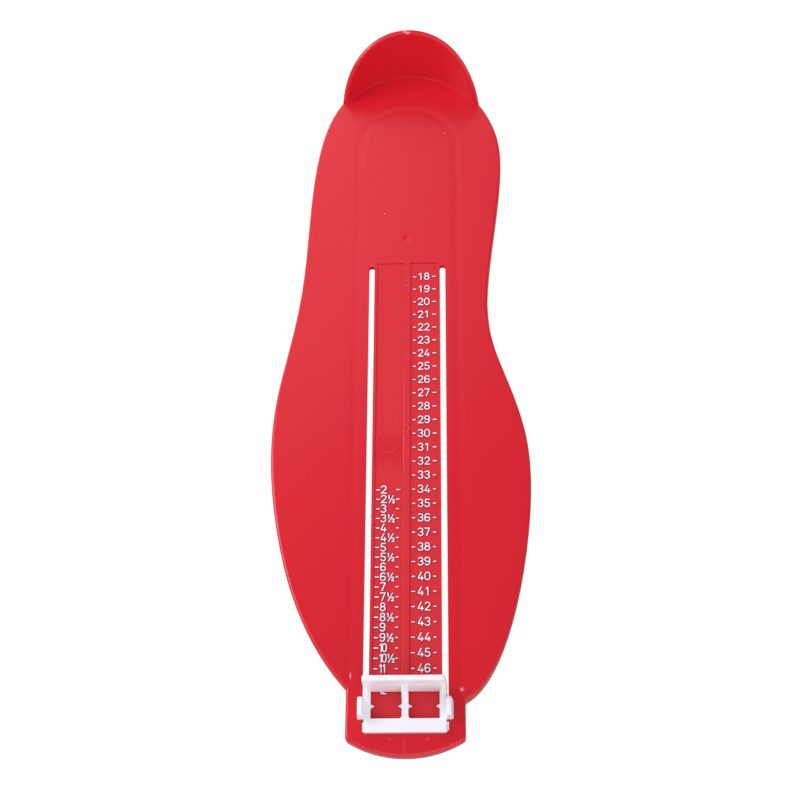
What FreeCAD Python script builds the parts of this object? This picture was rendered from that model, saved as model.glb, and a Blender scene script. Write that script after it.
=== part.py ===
import FreeCAD, Part
import os
import Sketcher

# Foot measuring device: a moulded foot plate with a heel cup, and a toe slider that runs in two
# long slots beside the size scales.
#
# Every size is in millimetres or degrees. While a piece is drawn, X = 0 is the centre line between
# the slots, Y = 0 is the inside of the heel cup and Z = 0 is the surface that the plate rests on.
# "_at", "_start" and "_end" are distances from the heel cup towards the toes, which is -Y.
# "_back" is a distance back towards the heel, from the toe tip, a neck or the end of a window.
# "_out" is a distance from the centre line. At the end both pieces are placed so that the origin
# is the middle of the plate's underside.

SIZES = {
    # foot plate: an open shell with its rim down
    "plate_height": 5.0,
    "plate_skin": 2.2,
    "edge_round": 1.2,
    "toe_reach": 337.8,
    "toe_bow": 47.0,
    "toe_corner_round": 2.5,
    "tab_out": 24.7,
    "neck_round": 1.5,
    # heel cup: a leaning wall, thinner towards its bowed rim and highest at the back
    "cup_radius": 37.8,
    "cup_side": 0.5,
    "cup_reach": 66.0,
    "cup_wall": 2.1,
    "cup_lean_inside": 2.0,
    "cup_lean_outside": 0.8,
    "cup_height": 36.0,
    "cup_root": 2.0,
    "cup_inset": 0.15,
    "cup_foot_round": 0.4,
    "cup_turn": 2.6,
    "rim_front": 20.7,
    "rim_back": 41.5,
    "rim_height": 34.4,
    "rim_sink": 3.0,
    "rim_bow": 63.5,
    "rim_bevel": 0.4,
    # sides of the plate: each leaves the heel's arc straight on, then follows control points
    "heel_reach": 57.0,
    "left_lead": 26.0,
    "left_waist_out": 44.5,
    "left_waist_at": 121.7,
    "left_instep_out": 62.3,
    "left_instep_at": 177.2,
    "left_ball_out": 59.9,
    "left_ball_at": 236.8,
    "left_toes_out": 44.1,
    "left_toes_back": 21.2,
    "left_neck_back": 28.0,
    "right_lead": 18.0,
    "right_flank_out": 47.8,
    "right_flank_at": 54.5,
    "right_arch_out": 33.7,
    "right_arch_at": 130.5,
    "right_instep_out": 41.9,
    "right_instep_at": 159.9,
    "right_joint_out": 49.7,
    "right_joint_at": 179.2,
    "right_ball_out": 59.7,
    "right_ball_at": 223.0,
    "right_toes_out": 41.3,
    "right_toes_back": 8.3,
    "right_neck_back": 22.5,
    # slots and the two sunk panels that carry the scales
    "slot_gauge": 16.5,
    "slot_width": 2.6,
    "slot_start": 108.9,
    "slot_land": 9.7,
    "panel_lead": 1.7,
    "panel_short": 3.2,
    "panel_inner": 1.5,
    "panel_margin": 2.5,
    "panel_depth": 0.5,
    # underneath: a U-shaped stiffening rib, two toe bosses, a short web and the gate boss
    "rib_wall": 1.6,
    "rib_lift": 0.3,
    "rib_bend_at": 43.6,
    "rib_run": 7.0,
    "boss_radius": 2.0,
    "boss_out": 8.0,
    "boss_back": 7.4,
    "web_wall": 1.2,
    "web_back": 7.0,
    "gate_radius": 2.5,
    "gate_at": 94.9,
    # toe slider: frame with two reading windows
    "glide_gap": 0.1,
    "stop_gap": 0.2,
    "frame_thick": 2.5,
    "frame_over_slot": 0.45,
    "frame_over_end": 0.4,
    "frame_corner_round": 0.4,
    "frame_edge_bevel": 0.25,
    "bar_width": 5.5,
    "window_length": 11.7,
    "window_rail": 1.2,
    "post_width": 2.7,
    "post_foot_round": 1.2,
    "pointer_back": 5.4,
    "pointer_length": 1.5,
    "pointer_width": 2.2,
    "pointer_thick": 1.0,
    "pointer_root": 0.4,
    # toe slider: toe wall and its gussets
    "wall_thick": 2.3,
    "wall_height": 18.0,
    "wall_over_slot": 0.8,
    "wall_taper": 0.5,
    "wall_corner_round": 1.0,
    "wall_edge_round": 0.7,
    "gusset_root": 0.6,
    "gusset_drop": 2.5,
    "gusset_reach": 4.5,
    "gusset_bow": 15.0,
    "cheek_thick": 1.8,
    "cheek_inset": 0.1,
    # toe slider: guides in the slots, spring legs with hooks and finger ears
    "slot_gap": 0.2,
    "pin_ahead": 4.1,
    "leg_length": 7.9,
    "leg_slit": 0.6,
    "hook_gap": 0.15,
    "hook_thick": 1.4,
    "hook_reach": 1.7,
    "hook_lead": 0.9,
    "ear_height": 9.0,
    "ear_thick": 2.2,
    "ear_draft": 0.7,
    "ear_step": 0.3,
    "ear_end_round": 1.9,
    "ear_top_bevel": 0.5,
}

PLACES = {
    # foot plate
    "skin_underside": "Sizes.plate_height - Sizes.plate_skin",
    "heel_radius": "Sizes.cup_radius + Sizes.cup_wall + Sizes.cup_inset",
    "heel_sine": "sin(Sizes.heel_reach)",
    "heel_cosine": "cos(Sizes.heel_reach)",
    "heel_end_span": "heel_radius * heel_sine",
    "heel_end_at": "Sizes.cup_radius - heel_radius * heel_cosine",
    "heel_left_out": "heel_end_span - Sizes.cup_side",
    "heel_right_out": "heel_end_span + Sizes.cup_side",
    "left_lead_out": "heel_left_out + Sizes.left_lead * heel_cosine",
    "left_lead_at": "heel_end_at + Sizes.left_lead * heel_sine",
    "right_lead_out": "heel_right_out + Sizes.right_lead * heel_cosine",
    "right_lead_at": "heel_end_at + Sizes.right_lead * heel_sine",
    "left_neck_at": "Sizes.toe_reach - Sizes.left_neck_back",
    "left_toes_at": "left_neck_at - Sizes.left_toes_back",
    "right_neck_at": "Sizes.toe_reach - Sizes.right_neck_back",
    "right_toes_at": "right_neck_at - Sizes.right_toes_back",
    "toe_centre_at": "Sizes.toe_reach - Sizes.toe_bow",
    "toe_shoulder_at": "toe_centre_at + sqrt(Sizes.toe_bow ^ 2 - Sizes.tab_out ^ 2)",
    # heel cup
    "cup_root_level": "Sizes.plate_height - Sizes.cup_root",
    "cup_crown": "Sizes.plate_height + Sizes.cup_height",
    "cup_foot_inner": "-Sizes.cup_root * tan(Sizes.cup_lean_inside)",
    "cup_foot_outer": "Sizes.cup_wall - Sizes.cup_root * tan(Sizes.cup_lean_outside)",
    "cup_top_inner": "Sizes.cup_height * tan(Sizes.cup_lean_inside)",
    "cup_top_outer": "Sizes.cup_wall + Sizes.cup_height * tan(Sizes.cup_lean_outside)",
    "rim_level": "Sizes.plate_height + Sizes.rim_height",
    "rim_front_level": "Sizes.plate_height - Sizes.rim_sink",
    "rim_clear_level": "cup_crown + Sizes.cup_wall",
    # slots, panels, rib and bosses
    "slot_half": "Sizes.slot_width / 2",
    "slot_end": "Sizes.toe_reach - Sizes.slot_land",
    "slot_first": "Sizes.slot_start + slot_half",
    "slot_last": "slot_end - slot_half",
    "panel_start": "Sizes.slot_start - Sizes.panel_lead",
    "panel_end": "slot_end - Sizes.panel_short",
    "panel_outer": "Sizes.slot_gauge - Sizes.panel_margin",
    "rib_inner": "Sizes.tab_out - Sizes.plate_skin",
    "rib_outer": "rib_inner + Sizes.rib_wall",
    "rib_depth": "skin_underside - Sizes.rib_lift",
    "rib_end": "right_neck_at + Sizes.rib_run",
    "boss_at": "Sizes.toe_reach - Sizes.boss_back",
    "web_half": "Sizes.web_wall / 2",
    "web_start": "Sizes.toe_reach - Sizes.web_back",
    "web_end": "Sizes.toe_reach - Sizes.plate_skin / 2",
    # toe slider: guides, legs, hooks and ears, laid out from the toe end of the slots
    "guide_half": "slot_half - Sizes.slot_gap",
    "guide_depth": "Sizes.glide_gap + Sizes.plate_skin",
    "tongue_end": "slot_end - Sizes.stop_gap",
    "frame_end": "tongue_end + Sizes.frame_over_end",
    "window_end": "frame_end - Sizes.bar_width",
    "wall_face_at": "window_end - Sizes.window_length",
    "wall_at": "wall_face_at - Sizes.wall_thick",
    "pin_at": "wall_at + Sizes.pin_ahead",
    "leg_start": "window_end - Sizes.leg_length",
    "tongue_first": "window_end + Sizes.leg_slit + guide_half",
    "tongue_last": "tongue_end - guide_half",
    "leg_inner": "Sizes.slot_gauge - guide_half",
    "leg_outer": "Sizes.slot_gauge + guide_half",
    "hook_out": "leg_outer + Sizes.hook_reach",
    "hook_tip_out": "hook_out - Sizes.hook_lead",
    "hook_top": "skin_underside - Sizes.hook_gap",
    "hook_bottom": "hook_top - Sizes.hook_thick",
    "hook_shoulder": "hook_bottom + Sizes.hook_lead",
    # toe slider: frame
    "slide_level": "Sizes.plate_height + Sizes.glide_gap",
    "frame_top": "slide_level + Sizes.frame_thick",
    "frame_out": "Sizes.slot_gauge + Sizes.frame_over_slot",
    "window_out": "leg_inner - Sizes.window_rail",
    "post_half": "Sizes.post_width / 2",
    "pointer_at": "window_end - Sizes.pointer_back",
    "pointer_heel_at": "pointer_at - Sizes.pointer_width / 2",
    "pointer_toe_at": "pointer_at + Sizes.pointer_width / 2",
    "pointer_inner_root": "post_half - Sizes.pointer_root",
    "pointer_inner_tip": "post_half + Sizes.pointer_length",
    "pointer_outer_root": "window_out + Sizes.pointer_root",
    "pointer_outer_tip": "window_out - Sizes.pointer_length",
    "ear_top_out": "frame_out + Sizes.ear_thick",
    "ear_foot_out": "ear_top_out + Sizes.ear_draft",
    "ear_foot": "slide_level + Sizes.ear_step",
    "ear_top": "Sizes.plate_height + Sizes.ear_height",
    # toe wall and gussets
    "wall_foot_out": "Sizes.slot_gauge + Sizes.wall_over_slot",
    "wall_top_out": "wall_foot_out - Sizes.wall_taper",
    "wall_top": "slide_level + Sizes.wall_height",
    "gusset_top": "wall_top - Sizes.gusset_drop",
    "gusset_start": "wall_face_at - Sizes.gusset_root",
    "gusset_block": "Sizes.gusset_root + Sizes.gusset_reach",
    "gusset_end": "wall_face_at + Sizes.gusset_reach",
    "gusset_clear_end": "gusset_end + Sizes.wall_thick",
    "gusset_clear_top": "wall_top + Sizes.wall_thick",
    "cheek_out": "frame_out - Sizes.cheek_inset",
    "cheek_in": "cheek_out - Sizes.cheek_thick",
}

doc = FreeCAD.newDocument("FootMeasure")


def fill_sheet(label, cells, prefix):
    """One row for each name: the name in column A, its value or formula in column B."""
    sheet = doc.addObject("Spreadsheet::Sheet", label)
    for row, (name, content) in enumerate(cells.items(), start=1):
        sheet.set("A%d" % row, name)
        sheet.set("B%d" % row, prefix + str(content))
        sheet.setAlias("B%d" % row, name)
    doc.recompute()
    return sheet


SHEETS = {
    "Sizes": fill_sheet("Sizes", SIZES, ""),
    "Places": fill_sheet("Places", PLACES, "="),
}


def number(term):
    """Value of a term such as "Places.frame_end", "-Sizes.tab_out" or "0"."""
    sign = -1.0 if term.startswith("-") else 1.0
    name = term.lstrip("-")
    if "." not in name:
        return sign * float(name)
    sheet, alias = name.split(".")
    return sign * float(SHEETS[sheet].get(alias))


def point(place):
    return FreeCAD.Vector(number(place[0]), number(place[1]), 0)


# ---------------------------------------------------------------- sketches

def new_body(label):
    body = doc.addObject("PartDesign::Body", label)
    body.Label = label
    return body


def origin_plane(body, role):
    return next(item for item in body.Origin.OriginFeatures if item.Role == role)


def new_sketch(body, name, role, offset="0"):
    """A sketch on one of the body's own planes, moved along that plane's normal by offset."""
    sketch = body.newObject("Sketcher::SketchObject", name)
    sketch.AttachmentSupport = [(origin_plane(body, role), "")]
    sketch.MapMode = "FlatFace"
    if offset != "0":
        sketch.setExpression("AttachmentOffset.Base.z", offset)
    return sketch


def pin(sketch, geometry, vertex, place):
    """Hold one vertex at a place, which is a pair of terms."""
    for kind, term in zip(("DistanceX", "DistanceY"), place):
        value = number(term)
        index = sketch.addConstraint(Sketcher.Constraint(kind, -1, 1, geometry, vertex, value))
        if "." in term:
            sketch.setExpression("Constraints[%d]" % index, term)


def set_radius(sketch, geometry, term):
    constraint = Sketcher.Constraint("Radius", geometry, number(term))
    index = sketch.addConstraint(constraint)
    sketch.setExpression("Constraints[%d]" % index, term)


def add_line(sketch, start, end):
    return sketch.addGeometry(Part.LineSegment(point(start), point(end)), False)


def add_arc(sketch, start, end, centre):
    """Arc that runs anticlockwise from start to end round a centre; all three are vectors."""
    start_ray = start - centre
    end_ray = end - centre
    circle = Part.Circle(centre, FreeCAD.Vector(0, 0, 1), start_ray.Length)
    first = circle.parameter(centre + start_ray)
    last = circle.parameter(centre + end_ray)
    return sketch.addGeometry(Part.ArcOfCircle(circle, first, last), False)


def arc_centre(start, end, radius):
    """Centre of the shorter arc that runs anticlockwise from start to end."""
    chord = end - start
    middle = (start + end) * 0.5
    height = (radius ** 2 - chord.Length ** 2 / 4) ** 0.5
    left = FreeCAD.Vector(-chord.y, chord.x, 0).normalize()
    return middle + left * height


def join(sketch, first, first_vertex, second, second_vertex):
    sketch.addConstraint(
        Sketcher.Constraint("Coincident", first, first_vertex, second, second_vertex))


def add_polygon(sketch, places):
    """Closed polygon with every corner held at its place."""
    count = len(places)
    edges = [add_line(sketch, places[i], places[(i + 1) % count]) for i in range(count)]
    for i, edge in enumerate(edges):
        pin(sketch, edge, 1, places[i])
        join(sketch, edge, 2, edges[(i + 1) % count], 1)


def add_bowed_outline(sketch, corners, radius, bow_start, bow_stop):
    """Open run of lines through the corners, closed by an arc that bows between its ends.

    The arc runs anticlockwise from bow_start to bow_stop, the first and last corner or the
    last and first.
    """
    lines = [add_line(sketch, corners[i], corners[i + 1]) for i in range(len(corners) - 1)]
    for i, line in enumerate(lines):
        pin(sketch, line, 1, corners[i])
        if i:
            join(sketch, lines[i - 1], 2, line, 1)
    pin(sketch, lines[-1], 2, corners[-1])
    start, stop = point(bow_start), point(bow_stop)
    bow = add_arc(sketch, start, stop, arc_centre(start, stop, number(radius)))
    first_vertex, last_vertex = (1, 2) if bow_start == corners[0] else (2, 1)
    join(sketch, bow, first_vertex, lines[0], 1)
    join(sketch, bow, last_vertex, lines[-1], 2)
    set_radius(sketch, bow, radius)


def add_rectangle(sketch, left, right, low, high):
    add_polygon(sketch, [(left, low), (right, low), (right, high), (left, high)])


def add_rounded_slot(sketch, centre_x, first_y, last_y, half_width):
    """Slot along Y with round ends, centred on first_y at the heel end and last_y at the toe end."""
    half = FreeCAD.Vector(number(half_width), 0, 0)
    ends = [point((centre_x, first_y)), point((centre_x, last_y))]
    heel = add_arc(sketch, ends[0] + half, ends[0] - half, ends[0])
    toe = add_arc(sketch, ends[1] - half, ends[1] + half, ends[1])
    left = sketch.addGeometry(Part.LineSegment(ends[0] - half, ends[1] - half), False)
    right = sketch.addGeometry(Part.LineSegment(ends[1] + half, ends[0] + half), False)
    loop = [heel, left, toe, right]
    for first, second in zip(loop, loop[1:] + loop[:1]):
        sketch.addConstraint(Sketcher.Constraint("Tangent", first, 2, second, 1))
    for arc, end_y in ((heel, first_y), (toe, last_y)):
        pin(sketch, arc, 3, (centre_x, end_y))
    set_radius(sketch, heel, half_width)
    set_radius(sketch, toe, half_width)


def add_spline(sketch, places):
    """Smooth cubic curve whose control points, all of the same weight, are held at the places."""
    degree = 3
    weight = 1.0
    curve = Part.BSplineCurve()
    curve.buildFromPoles([point(place) for place in places], False, degree)
    spline = sketch.addGeometry(curve, False)
    for i, place in enumerate(places):
        knob = Part.Circle(point(place), FreeCAD.Vector(0, 0, 1), weight)
        control = sketch.addGeometry(knob, True)
        sketch.addConstraint(Sketcher.Constraint(
            "InternalAlignment:Sketcher::BSplineControlPoint", control, 3, spline, i))
        sketch.addConstraint(Sketcher.Constraint("Weight", control, weight))
        pin(sketch, control, 3, place)
    return spline


# ---------------------------------------------------------------- features

# Edges are picked by their place: this near to it, this straight and longer than this.
NEAR = 0.01
STRAIGHT = 0.0001
SHORTEST = 0.1


def settle(feature):
    """Work the feature out and stop at once if it fails."""
    doc.recompute()
    if "Invalid" in feature.State or "Error" in feature.State or feature.Shape.isNull():
        raise ValueError("%s fails: %s" % (feature.Name, feature.getStatusString()))
    return feature


def pad(body, name, sketch, length, reverse=False, midplane=False):
    feature = body.newObject("PartDesign::Pad", name)
    feature.Profile = sketch
    feature.Reversed = reverse
    feature.Midplane = midplane
    feature.setExpression("Length", length)
    return settle(feature)


def cut(body, name, sketch, depth=None, midplane=False):
    """Pocket against the sketch's normal: to a depth, or through everything."""
    before = body.Shape.Volume
    feature = body.newObject("PartDesign::Pocket", name)
    feature.Profile = sketch
    feature.Midplane = midplane
    if depth is None:
        feature.Type = "ThroughAll"
    else:
        feature.setExpression("Length", depth)
    settle(feature)
    if not body.Shape.Volume < before:
        raise ValueError("%s takes nothing away" % name)
    return feature


def work_edges(body, kind, name, chosen):
    """Fillet or chamfer, still without its size, of the edges for which chosen(edge) is true."""
    base = body.Tip
    names = ["Edge%d" % (i + 1) for i, edge in enumerate(base.Shape.Edges) if chosen(edge)]
    if not names:
        raise ValueError("%s finds no edge" % name)
    feature = body.newObject(kind, name)
    feature.Base = (base, names)
    return feature


def round_edges(body, name, radius, chosen):
    feature = work_edges(body, "PartDesign::Fillet", name, chosen)
    feature.setExpression("Radius", radius)
    return settle(feature)


def bevel_edges(body, name, size, chosen):
    feature = work_edges(body, "PartDesign::Chamfer", name, chosen)
    feature.setExpression("Size", size)
    return settle(feature)


def is_along(edge, axis):
    """Straight edge along X, Y or Z."""
    box = edge.BoundBox
    spans = {"X": box.XLength, "Y": box.YLength, "Z": box.ZLength}
    return spans.pop(axis) > SHORTEST and max(spans.values()) < STRAIGHT


def lies_at(edge, level):
    box = edge.BoundBox
    return abs(box.ZMin - level) < NEAR and abs(box.ZMax - level) < NEAR


def middle_of(edge):
    return edge.valueAt((edge.FirstParameter + edge.LastParameter) / 2)


# ---------------------------------------------------------------- foot plate

def draw_footprint(body):
    """Outline of the plate: heel arc, two free curves, the tab and its bowed toe end."""
    sketch = new_sketch(body, "Footprint", "XY_Plane")
    heel_left = ("-Places.heel_left_out", "-Places.heel_end_at")
    heel_right = ("Places.heel_right_out", "-Places.heel_end_at")
    neck_left = ("-Sizes.tab_out", "-Places.left_neck_at")
    neck_right = ("Sizes.tab_out", "-Places.right_neck_at")
    toe_left = ("-Sizes.tab_out", "-Places.toe_shoulder_at")
    toe_right = ("Sizes.tab_out", "-Places.toe_shoulder_at")
    left_side = [
        heel_left,
        ("-Places.left_lead_out", "-Places.left_lead_at"),
        ("-Sizes.left_waist_out", "-Sizes.left_waist_at"),
        ("-Sizes.left_instep_out", "-Sizes.left_instep_at"),
        ("-Sizes.left_ball_out", "-Sizes.left_ball_at"),
        ("-Sizes.left_toes_out", "-Places.left_toes_at"),
        neck_left,
    ]
    right_side = [
        neck_right,
        ("Sizes.right_toes_out", "-Places.right_toes_at"),
        ("Sizes.right_ball_out", "-Sizes.right_ball_at"),
        ("Sizes.right_joint_out", "-Sizes.right_joint_at"),
        ("Sizes.right_instep_out", "-Sizes.right_instep_at"),
        ("Sizes.right_arch_out", "-Sizes.right_arch_at"),
        ("Sizes.right_flank_out", "-Sizes.right_flank_at"),
        ("Places.right_lead_out", "-Places.right_lead_at"),
        heel_right,
    ]
    left = add_spline(sketch, left_side)
    left_tab = add_line(sketch, neck_left, toe_left)
    toe_start, toe_stop = point(toe_left), point(toe_right)
    toe = add_arc(sketch, toe_start, toe_stop,
                  arc_centre(toe_start, toe_stop, number("Sizes.toe_bow")))
    right_tab = add_line(sketch, toe_right, neck_right)
    right = add_spline(sketch, right_side)
    heel_centre = point(("Sizes.cup_side", "-Sizes.cup_radius"))
    heel = add_arc(sketch, point(heel_right), point(heel_left), heel_centre)
    pin(sketch, left_tab, 1, neck_left)
    pin(sketch, left_tab, 2, toe_left)
    pin(sketch, right_tab, 1, toe_right)
    pin(sketch, right_tab, 2, neck_right)
    for line, vertex, arc_vertex in ((left_tab, 2, 1), (right_tab, 1, 2)):
        join(sketch, line, vertex, toe, arc_vertex)
    set_radius(sketch, toe, "Sizes.toe_bow")
    join(sketch, heel, 1, right, 2)
    join(sketch, heel, 2, left, 1)
    set_radius(sketch, heel, "Places.heel_radius")
    return sketch


def build_heel_cup():
    """Leaning wall turned about the middle of the heel, then cut down to its bowed rim."""
    body = new_body("heel_cup")
    section = new_sketch(body, "CupSection", "YZ_Plane", "Sizes.cup_side")
    add_polygon(section, [
        ("Places.cup_foot_inner", "Places.cup_root_level"),
        ("Places.cup_foot_outer", "Places.cup_root_level"),
        ("Places.cup_top_outer", "Places.cup_crown"),
        ("Places.cup_top_inner", "Places.cup_crown"),
    ])
    axis_foot = ("-Sizes.cup_radius", "0")
    axis_top = ("-Sizes.cup_radius", "Places.cup_crown")
    axis = section.addGeometry(Part.LineSegment(point(axis_foot), point(axis_top)), True)
    pin(section, axis, 1, axis_foot)
    pin(section, axis, 2, axis_top)
    wall = body.newObject("PartDesign::Revolution", "CupWall")
    wall.Profile = section
    wall.ReferenceAxis = (section, ["Axis0"])
    wall.Midplane = True
    wall.setExpression("Angle", "2 * Sizes.cup_reach")
    settle(wall)

    rim = new_sketch(body, "CupRim", "YZ_Plane", "Sizes.cup_side")
    tilted = FreeCAD.Rotation(FreeCAD.Vector(0, 1, 0), -number("Sizes.cup_turn"))
    rim.AttachmentOffset = FreeCAD.Placement(FreeCAD.Vector(0, 0, 0), tilted)
    rim.setExpression("AttachmentOffset.Base.x", "-Sizes.cup_radius")
    rim.setExpression("AttachmentOffset.Rotation.Angle", "-Sizes.cup_turn")
    front = ("Sizes.rim_front", "Places.rim_front_level")
    back = ("Sizes.rim_back", "Places.rim_level")
    add_bowed_outline(rim, [
        back,
        ("Sizes.rim_back", "Places.rim_clear_level"),
        ("0", "Places.rim_clear_level"),
        ("0", "Places.rim_front_level"),
        front,
    ], "Sizes.rim_bow", back, front)
    cut(body, "CupRimCut", rim, midplane=True)
    top = number("Sizes.plate_height")
    reach = number("Sizes.cup_radius")

    def on_rim(edge):
        return middle_of(edge).z > top and edge.Length > reach
    bevel_edges(body, "CupRimBevel", "Sizes.rim_bevel", on_rim)
    return body


def add_underside(body):
    """U-shaped rib that follows the heel and runs on into the tab's skirt, bosses and toe web."""
    rib = new_sketch(body, "RibSketch", "XY_Plane", "Sizes.rib_lift")
    middle = ("0", "-Sizes.rib_bend_at")
    arcs = []
    for radius in ("Places.rib_inner", "Places.rib_outer"):
        right, left = point((radius, middle[1])), point(("-" + radius, middle[1]))
        arc = add_arc(rib, right, left, point(middle))
        pin(rib, arc, 3, middle)
        set_radius(rib, arc, radius)
        arcs.append(arc)
    for side, arc_vertex in (("", 1), ("-", 2)):
        inner, outer = side + "Places.rib_inner", side + "Places.rib_outer"
        inner_end, outer_end = (inner, "-Places.rib_end"), (outer, "-Places.rib_end")
        inner_leg = add_line(rib, inner_end, (inner, middle[1]))
        foot = add_line(rib, outer_end, inner_end)
        outer_leg = add_line(rib, outer_end, (outer, middle[1]))
        join(rib, foot, 1, outer_leg, 1)
        join(rib, foot, 2, inner_leg, 1)
        pin(rib, foot, 1, outer_end)
        pin(rib, foot, 2, inner_end)
        for leg, arc in zip((inner_leg, outer_leg), arcs):
            rib.addConstraint(Sketcher.Constraint("Tangent", leg, 2, arc, arc_vertex))
    pad(body, "Rib", rib, "Places.rib_depth")

    posts = new_sketch(body, "BossSketch", "XY_Plane", "Sizes.rib_lift")
    for place, radius in ((("-Sizes.boss_out", "-Places.boss_at"), "Sizes.boss_radius"),
                          (("Sizes.boss_out", "-Places.boss_at"), "Sizes.boss_radius"),
                          (("0", "-Sizes.gate_at"), "Sizes.gate_radius")):
        circle = posts.addGeometry(
            Part.Circle(point(place), FreeCAD.Vector(0, 0, 1), number(radius)), False)
        pin(posts, circle, 3, place)
        set_radius(posts, circle, radius)
    add_rectangle(posts, "-Places.web_half", "Places.web_half",
                  "-Places.web_end", "-Places.web_start")
    pad(body, "Bosses", posts, "Places.rib_depth")


def cut_scales(body):
    """Two sunk panels for the printed scales and the slots beside them."""
    panels = new_sketch(body, "PanelSketch", "XY_Plane", "Sizes.plate_height")
    slots = new_sketch(body, "SlotSketch", "XY_Plane", "Sizes.plate_height")
    for side in ("", "-"):
        inner, outer = side + "Sizes.panel_inner", side + "Places.panel_outer"
        add_rectangle(panels, inner, outer, "-Places.panel_end", "-Places.panel_start")
        add_rounded_slot(slots, side + "Sizes.slot_gauge",
                         "-Places.slot_first", "-Places.slot_last", "Places.slot_half")
    cut(body, "Panels", panels, "Sizes.panel_depth")
    cut(body, "Slots", slots)


def join_heel_cup(body):
    """Fuse the cup into the plate and round the corner where a heel rests."""
    cup = build_heel_cup()
    fuse = body.newObject("PartDesign::Boolean", "CupJoin")
    fuse.Type = "Fuse"
    fuse.setObjects([cup])
    settle(fuse)
    top = number("Sizes.plate_height")
    inner = number("Sizes.cup_radius")
    centre = FreeCAD.Vector(number("Sizes.cup_side"), -inner, top)

    def on_inner_foot(edge):
        away = middle_of(edge) - centre
        return lies_at(edge, top) and abs(away.Length - inner) < NEAR and edge.Length > inner
    round_edges(body, "CupFootRound", "Sizes.cup_foot_round", on_inner_foot)


def build_foot_plate():
    body = new_body("foot_plate")
    pad(body, "Slab", draw_footprint(body), "Sizes.plate_height")
    top = number("Sizes.plate_height")
    tab = number("Sizes.tab_out")
    toe_corner = -number("Places.toe_shoulder_at")

    def at_toe_corner(edge):
        return is_along(edge, "Z") and abs(middle_of(edge).y - toe_corner) < NEAR

    def at_neck(edge):
        place = middle_of(edge)
        on_tab_line = abs(abs(place.x) - tab) < NEAR
        return is_along(edge, "Z") and on_tab_line and place.y > toe_corner + NEAR
    round_edges(body, "Necks", "Sizes.neck_round", at_neck)
    round_edges(body, "ToeCorners", "Sizes.toe_corner_round", at_toe_corner)

    slab = body.Tip
    faces = slab.Shape.Faces
    lowest = min(range(len(faces)), key=lambda i: faces[i].CenterOfMass.z)
    shell = body.newObject("PartDesign::Thickness", "Shell")
    shell.Base = (slab, ["Face%d" % (lowest + 1)])
    shell.Mode = "Skin"
    shell.Join = "Arc"
    shell.Reversed = True
    shell.setExpression("Value", "Sizes.plate_skin")
    settle(shell)
    round_edges(body, "TopEdge", "Sizes.edge_round", lambda edge: lies_at(edge, top))
    add_underside(body)
    join_heel_cup(body)
    cut_scales(body)
    return body


# ---------------------------------------------------------------- toe slider

def add_wall(body):
    """Toe wall, narrower at its top, with round corners and edges."""
    sketch = new_sketch(body, "WallSketch", "XZ_Plane", "Places.wall_at")
    add_polygon(sketch, [
        ("-Places.wall_foot_out", "Places.slide_level"),
        ("Places.wall_foot_out", "Places.slide_level"),
        ("Places.wall_top_out", "Places.wall_top"),
        ("-Places.wall_top_out", "Places.wall_top"),
    ])
    pad(body, "Wall", sketch, "Sizes.wall_thick")
    top = number("Places.wall_top")

    def at_top_corner(edge):
        return is_along(edge, "Y") and abs(middle_of(edge).z - top) < NEAR

    def at_top_edge(edge):
        return is_along(edge, "X") and abs(middle_of(edge).z - top) < NEAR
    round_edges(body, "WallCorners", "Sizes.wall_corner_round", at_top_corner)
    round_edges(body, "WallEdges", "Sizes.wall_edge_round", at_top_edge)


def add_gussets(body):
    """Two side cheeks and a middle gusset that sweep down from the wall to the frame."""
    blocks = new_sketch(body, "GussetSketch", "XZ_Plane", "Places.gusset_start")
    for side in ("", "-"):
        add_rectangle(blocks, side + "Places.cheek_in", side + "Places.cheek_out",
                      "Places.slide_level", "Places.gusset_top")
    add_rectangle(blocks, "-Places.post_half", "Places.post_half",
                  "Places.slide_level", "Places.gusset_top")
    pad(body, "Gussets", blocks, "Places.gusset_block")

    sweep = new_sketch(body, "SweepSketch", "YZ_Plane")
    foot = ("-Places.gusset_end", "Places.frame_top")
    head = ("-Places.wall_face_at", "Places.gusset_top")
    add_bowed_outline(sweep, [
        head,
        ("-Places.wall_face_at", "Places.gusset_clear_top"),
        ("-Places.gusset_clear_end", "Places.gusset_clear_top"),
        ("-Places.gusset_clear_end", "Places.frame_top"),
        foot,
    ], "Sizes.gusset_bow", foot, head)
    cut(body, "GussetSweep", sweep, midplane=True)


def add_windows(body):
    """Two reading windows and the four pointers that stand in them."""
    windows = new_sketch(body, "WindowSketch", "XY_Plane", "Places.frame_top")
    pointers = new_sketch(body, "PointerSketch", "XY_Plane", "Places.slide_level")
    for side in ("", "-"):
        add_rectangle(windows, side + "Places.post_half", side + "Places.window_out",
                      "-Places.window_end", "-Places.wall_face_at")
        for root, tip in (("Places.pointer_inner_root", "Places.pointer_inner_tip"),
                          ("Places.pointer_outer_root", "Places.pointer_outer_tip")):
            add_polygon(pointers, [
                (side + root, "-Places.pointer_heel_at"),
                (side + tip, "-Places.pointer_at"),
                (side + root, "-Places.pointer_toe_at"),
            ])
    cut(body, "Windows", windows)
    post_half = number("Places.post_half")
    window_end = -number("Places.window_end")

    def at_post_foot(edge):
        place = middle_of(edge)
        at_corner = abs(abs(place.x) - post_half) < NEAR and abs(place.y - window_end) < NEAR
        return is_along(edge, "Z") and at_corner
    round_edges(body, "PostFoot", "Sizes.post_foot_round", at_post_foot)
    pad(body, "Pointers", pointers, "Sizes.pointer_thick")


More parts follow.
